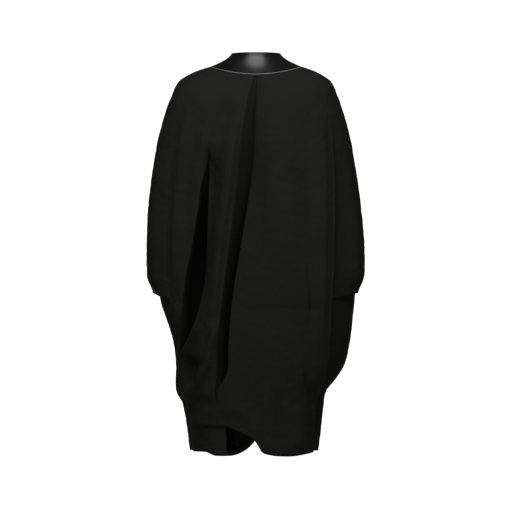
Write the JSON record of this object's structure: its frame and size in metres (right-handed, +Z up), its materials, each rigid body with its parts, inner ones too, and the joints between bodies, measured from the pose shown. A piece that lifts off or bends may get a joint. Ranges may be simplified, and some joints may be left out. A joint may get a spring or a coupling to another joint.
{
  "type": "salon cape",
  "caption": "Draped black salon cape with wide sleeves, back pleat, layered hem, glossy funnel collar and snap tab at the neck.",
  "frame": {"origin": "centre of the neck opening, at the height of the collar seam at the centre of the back, where the wearer's neck and shoulders hold the cape up", "axes": "+Z up, the back of the cape faces -Y, the front closure faces +Y, +X is to the right when the back is seen"},
  "size_m": [0.5838, 0.3426, 1.0671],
  "materials": {
    "cape_cloth": "matte",
    "facing_cloth": "matte",
    "collar_skin": "gloss",
    "collar_lining": "satin",
    "stiffener": "matte",
    "piping": "satin",
    "snap_metal": "satin",
    "hanger_strap": "satin",
    "label_cloth": "satin"
  },
  "bodies": {
    "shell": {"back_panel_left": "cape_cloth", "back_panel_right": "cape_cloth", "pleat_underlay": "cape_cloth", "back_underlap": "cape_cloth", "sleeve_left": "cape_cloth", "sleeve_right": "cape_cloth", "cuff_facing_left": "facing_cloth", "cuff_facing_right": "facing_cloth", "side_panel_left": "cape_cloth", "side_panel_right": "cape_cloth", "front_panel_left": "cape_cloth", "front_panel_right": "cape_cloth", "collar_back": "collar_skin", "collar_stiffener_back": "stiffener", "collar_lining_back": "collar_lining", "piping_back": "piping", "care_label": "label_cloth"},
    "front_left": {"front_flap_left": "cape_cloth", "front_facing_left": "facing_cloth", "collar_left": "collar_skin", "collar_stiffener_left": "stiffener", "collar_lining_left": "collar_lining", "piping_left": "piping"},
    "front_right": {"front_flap_right": "cape_cloth", "front_facing_right": "facing_cloth", "collar_right": "collar_skin", "collar_stiffener_right": "stiffener", "collar_lining_right": "collar_lining", "piping_right": "piping", "snap_stud_1": "snap_metal", "snap_stud_2": "snap_metal", "snap_post_1": "snap_metal", "snap_post_2": "snap_metal"},
    "tab": {"neck_tab": "collar_skin", "neck_tab_lining": "collar_lining", "snap_cap_1": "snap_metal", "snap_cap_2": "snap_metal", "snap_socket_1": "snap_metal", "snap_socket_2": "snap_metal"},
    "loop": {"hanger_loop": "hanger_strap"}
  },
  "joints": [
    {"name": "front_left_open", "type": "hinge", "parent": "shell", "child": "front_left", "pos_m": [-0.094, 0.102, -0.085], "axis": [0, -0.0712, 0.9975], "range_deg": [0, 60]},
    {"name": "front_right_open", "type": "hinge", "parent": "shell", "child": "front_right", "pos_m": [0.094, 0.102, -0.085], "axis": [0, -0.0712, 0.9975], "range_deg": [-60, 0]},
    {"name": "tab_open", "type": "hinge", "parent": "front_left", "child": "tab", "pos_m": [-0.02947, 0.07678, 0.00061], "axis": [0.2961, -0.3461, 0.8903], "range_deg": [0, 105]},
    {"name": "loop_swing", "type": "hinge", "parent": "shell", "child": "loop", "pos_m": [0, -0.08365, 0.00034], "axis": [1, 0, 0], "range_deg": [0, 120]}
  ],
  "couplings": [
    {"joint": "front_right_open", "follows": "front_left_open", "ratio": -1}
  ]
}
